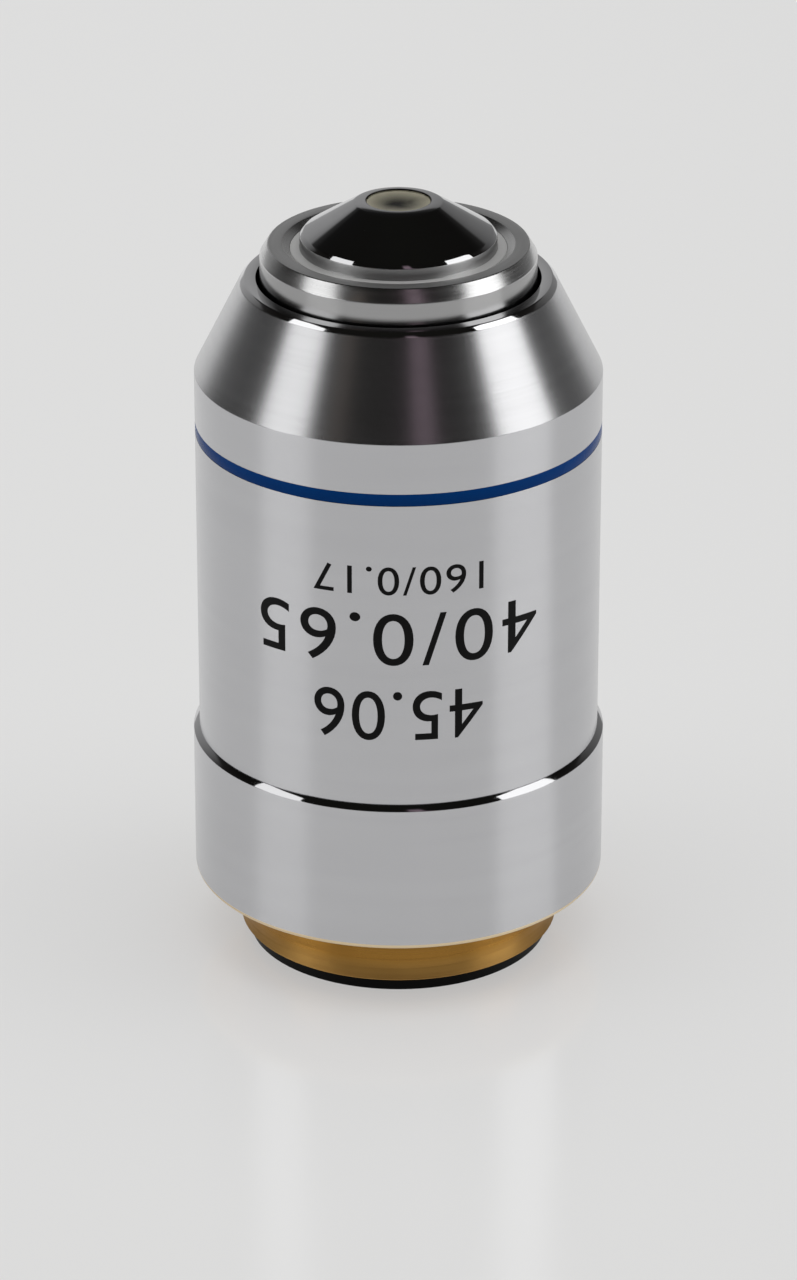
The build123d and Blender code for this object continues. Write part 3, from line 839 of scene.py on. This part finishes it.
def soft_box(label, side, radiance, width, forward, lean):
    """A tall soft box at one side, -1 for left, that leans back by some degrees."""
    lamp = bpy.data.lights.new(label, "AREA")
    lamp.shape = "RECTANGLE"
    lamp.size = width
    lamp.size_y = BOX_HEIGHT
    lamp.energy = radiance * math.pi * lamp.size * lamp.size_y
    box = bpy.data.objects.new(label, lamp)
    away = Vector((side, 0, 0))
    upward = Vector((0, math.sin(math.radians(lean)), math.cos(math.radians(lean))))
    aside = upward.cross(away)
    box.matrix_world = Matrix.Translation((side * BOX_DISTANCE, forward, BOX_MIDDLE)) @ Matrix(
        (aside, upward, away)).transposed().to_4x4()
    box.visible_camera = False
    bpy.context.collection.objects.link(box)


soft_box("left soft box", -1, radiance=1.25, width=0.53, forward=-0.205, lean=30)
soft_box("right soft box", 1, radiance=1.55, width=0.584, forward=-0.078, lean=27)

# Wide soft light overhead, which fills matt surfaces and leaves no glint on the metal
overhead = bpy.data.lights.new("overhead soft light", "AREA")
overhead.shape = "SQUARE"
overhead.size = OVERHEAD_SIZE
overhead.energy = OVERHEAD_RADIANCE * math.pi * overhead.size ** 2
overhead_lamp = bpy.data.objects.new("overhead soft light", overhead)
overhead_lamp.location = (0, 0, OVERHEAD_HEIGHT)
overhead_lamp.visible_camera = False
overhead_lamp.visible_glossy = False
bpy.context.collection.objects.link(overhead_lamp)

# Studio round the floor: dark above and in front, pale low down behind
world = bpy.data.worlds.new("studio")
bpy.context.scene.world = world
world.use_nodes = True
sky = world.node_tree
backdrop = sky.nodes["Background"]
look = sky.nodes.new("ShaderNodeTexCoord")
across, behind_it, up = split_axes(sky, look.outputs["Generated"])


def sine(degrees):
    return math.sin(math.radians(degrees))


def height_ramp(stops):
    """A colour by the height of the view, with stops as (degrees above the floor, colour)."""
    ramp = sky.nodes.new("ShaderNodeValToRGB")
    ramp.color_ramp.elements[0].position = 0.0
    ramp.color_ramp.elements[1].position = 1.0
    while len(ramp.color_ramp.elements) < len(stops):
        ramp.color_ramp.elements.new(0.5)
    for element, (degrees, value) in zip(ramp.color_ramp.elements, stops):
        element.position = max(0.0, sine(degrees))
        element.color = (*value, 1)
    sky.links.new(up, ramp.inputs[0])
    return ramp.outputs[0]


def wall_panel(first, last, top, turn):
    """A mask of an upright panel between two turns from the front and below a height, all in degrees."""
    enters = ranged(sky, turn, 0.0, 1.0, math.radians(first - 2), math.radians(first + 2))
    leaves = ranged(sky, turn, 1.0, 0.0, math.radians(last - 2), math.radians(last + 2))
    above = ranged(sky, up, 0.0, 1.0, sine(24), sine(27))
    below = ranged(sky, up, 1.0, 0.0, sine(top - 3), sine(top + 3))
    return math_node(sky, "MULTIPLY", math_node(sky, "MULTIPLY", enters, leaves),
                     math_node(sky, "MULTIPLY", above, below))


round_room = height_ramp([(0, (0.10, 0.10, 0.10)), (10, (0.06, 0.06, 0.06)), (22, (0.018, 0.017, 0.016)),
                          (40, (0.006, 0.0055, 0.005)), (90, (0.008, 0.008, 0.007))])
behind = height_ramp([(0, (0.36, 0.36, 0.36)), (22, (0.33, 0.33, 0.33)), (27, (0.28, 0.28, 0.28)),
                      (30, (0.04, 0.04, 0.04)), (36, (0.010, 0.010, 0.010)), (90, (0.008, 0.008, 0.007))])
flat_length = math_node(sky, "MAXIMUM", from_axis(sky, (across, behind_it)), 0.001)
backwards = math_node(sky, "DIVIDE", behind_it, flat_length)
backdrop_share = math_node(sky, "MULTIPLY", ranged(sky, backwards, 0.0, 1.0, 0.5, 0.9),
                           ranged(sky, across, 1.0, 0.45, -0.05, 0.3))
studio = mixed(sky, backdrop_share, round_room, behind)
front_turn = math_node(sky, "ARCTAN2", across, math_node(sky, "MULTIPLY", behind_it, -1.0))
brown_panel = wall_panel(-43, -32, 45, front_turn)
violet_panel = wall_panel(9, 22, 69, front_turn)
studio = mixed(sky, brown_panel, studio, (0.085, 0.07, 0.06))
studio = mixed(sky, violet_panel, studio, (0.22, 0.165, 0.195))
ray = sky.nodes.new("ShaderNodeLightPath")
seen = mixed(sky, ray.outputs["Is Camera Ray"], studio, (BACKDROP_TONE, BACKDROP_TONE, BACKDROP_TONE))
sky.links.new(seen, backdrop.inputs["Color"])
backdrop.inputs["Strength"].default_value = 1.0

# Camera, fitted to the photograph's rings
camera_data = bpy.data.cameras.new("camera")
camera_data.lens = CAMERA_LENS
camera_data.sensor_width = 36.0
camera_data.clip_start = 0.01
camera_data.clip_end = 20.0
camera = bpy.data.objects.new("camera", camera_data)
camera.location = CAMERA_PLACE
camera.rotation_euler = (math.radians(90 - CAMERA_TILT), 0, 0)
bpy.context.collection.objects.link(camera)
bpy.context.scene.camera = camera
bpy.context.scene.view_settings.view_transform = "Standard"
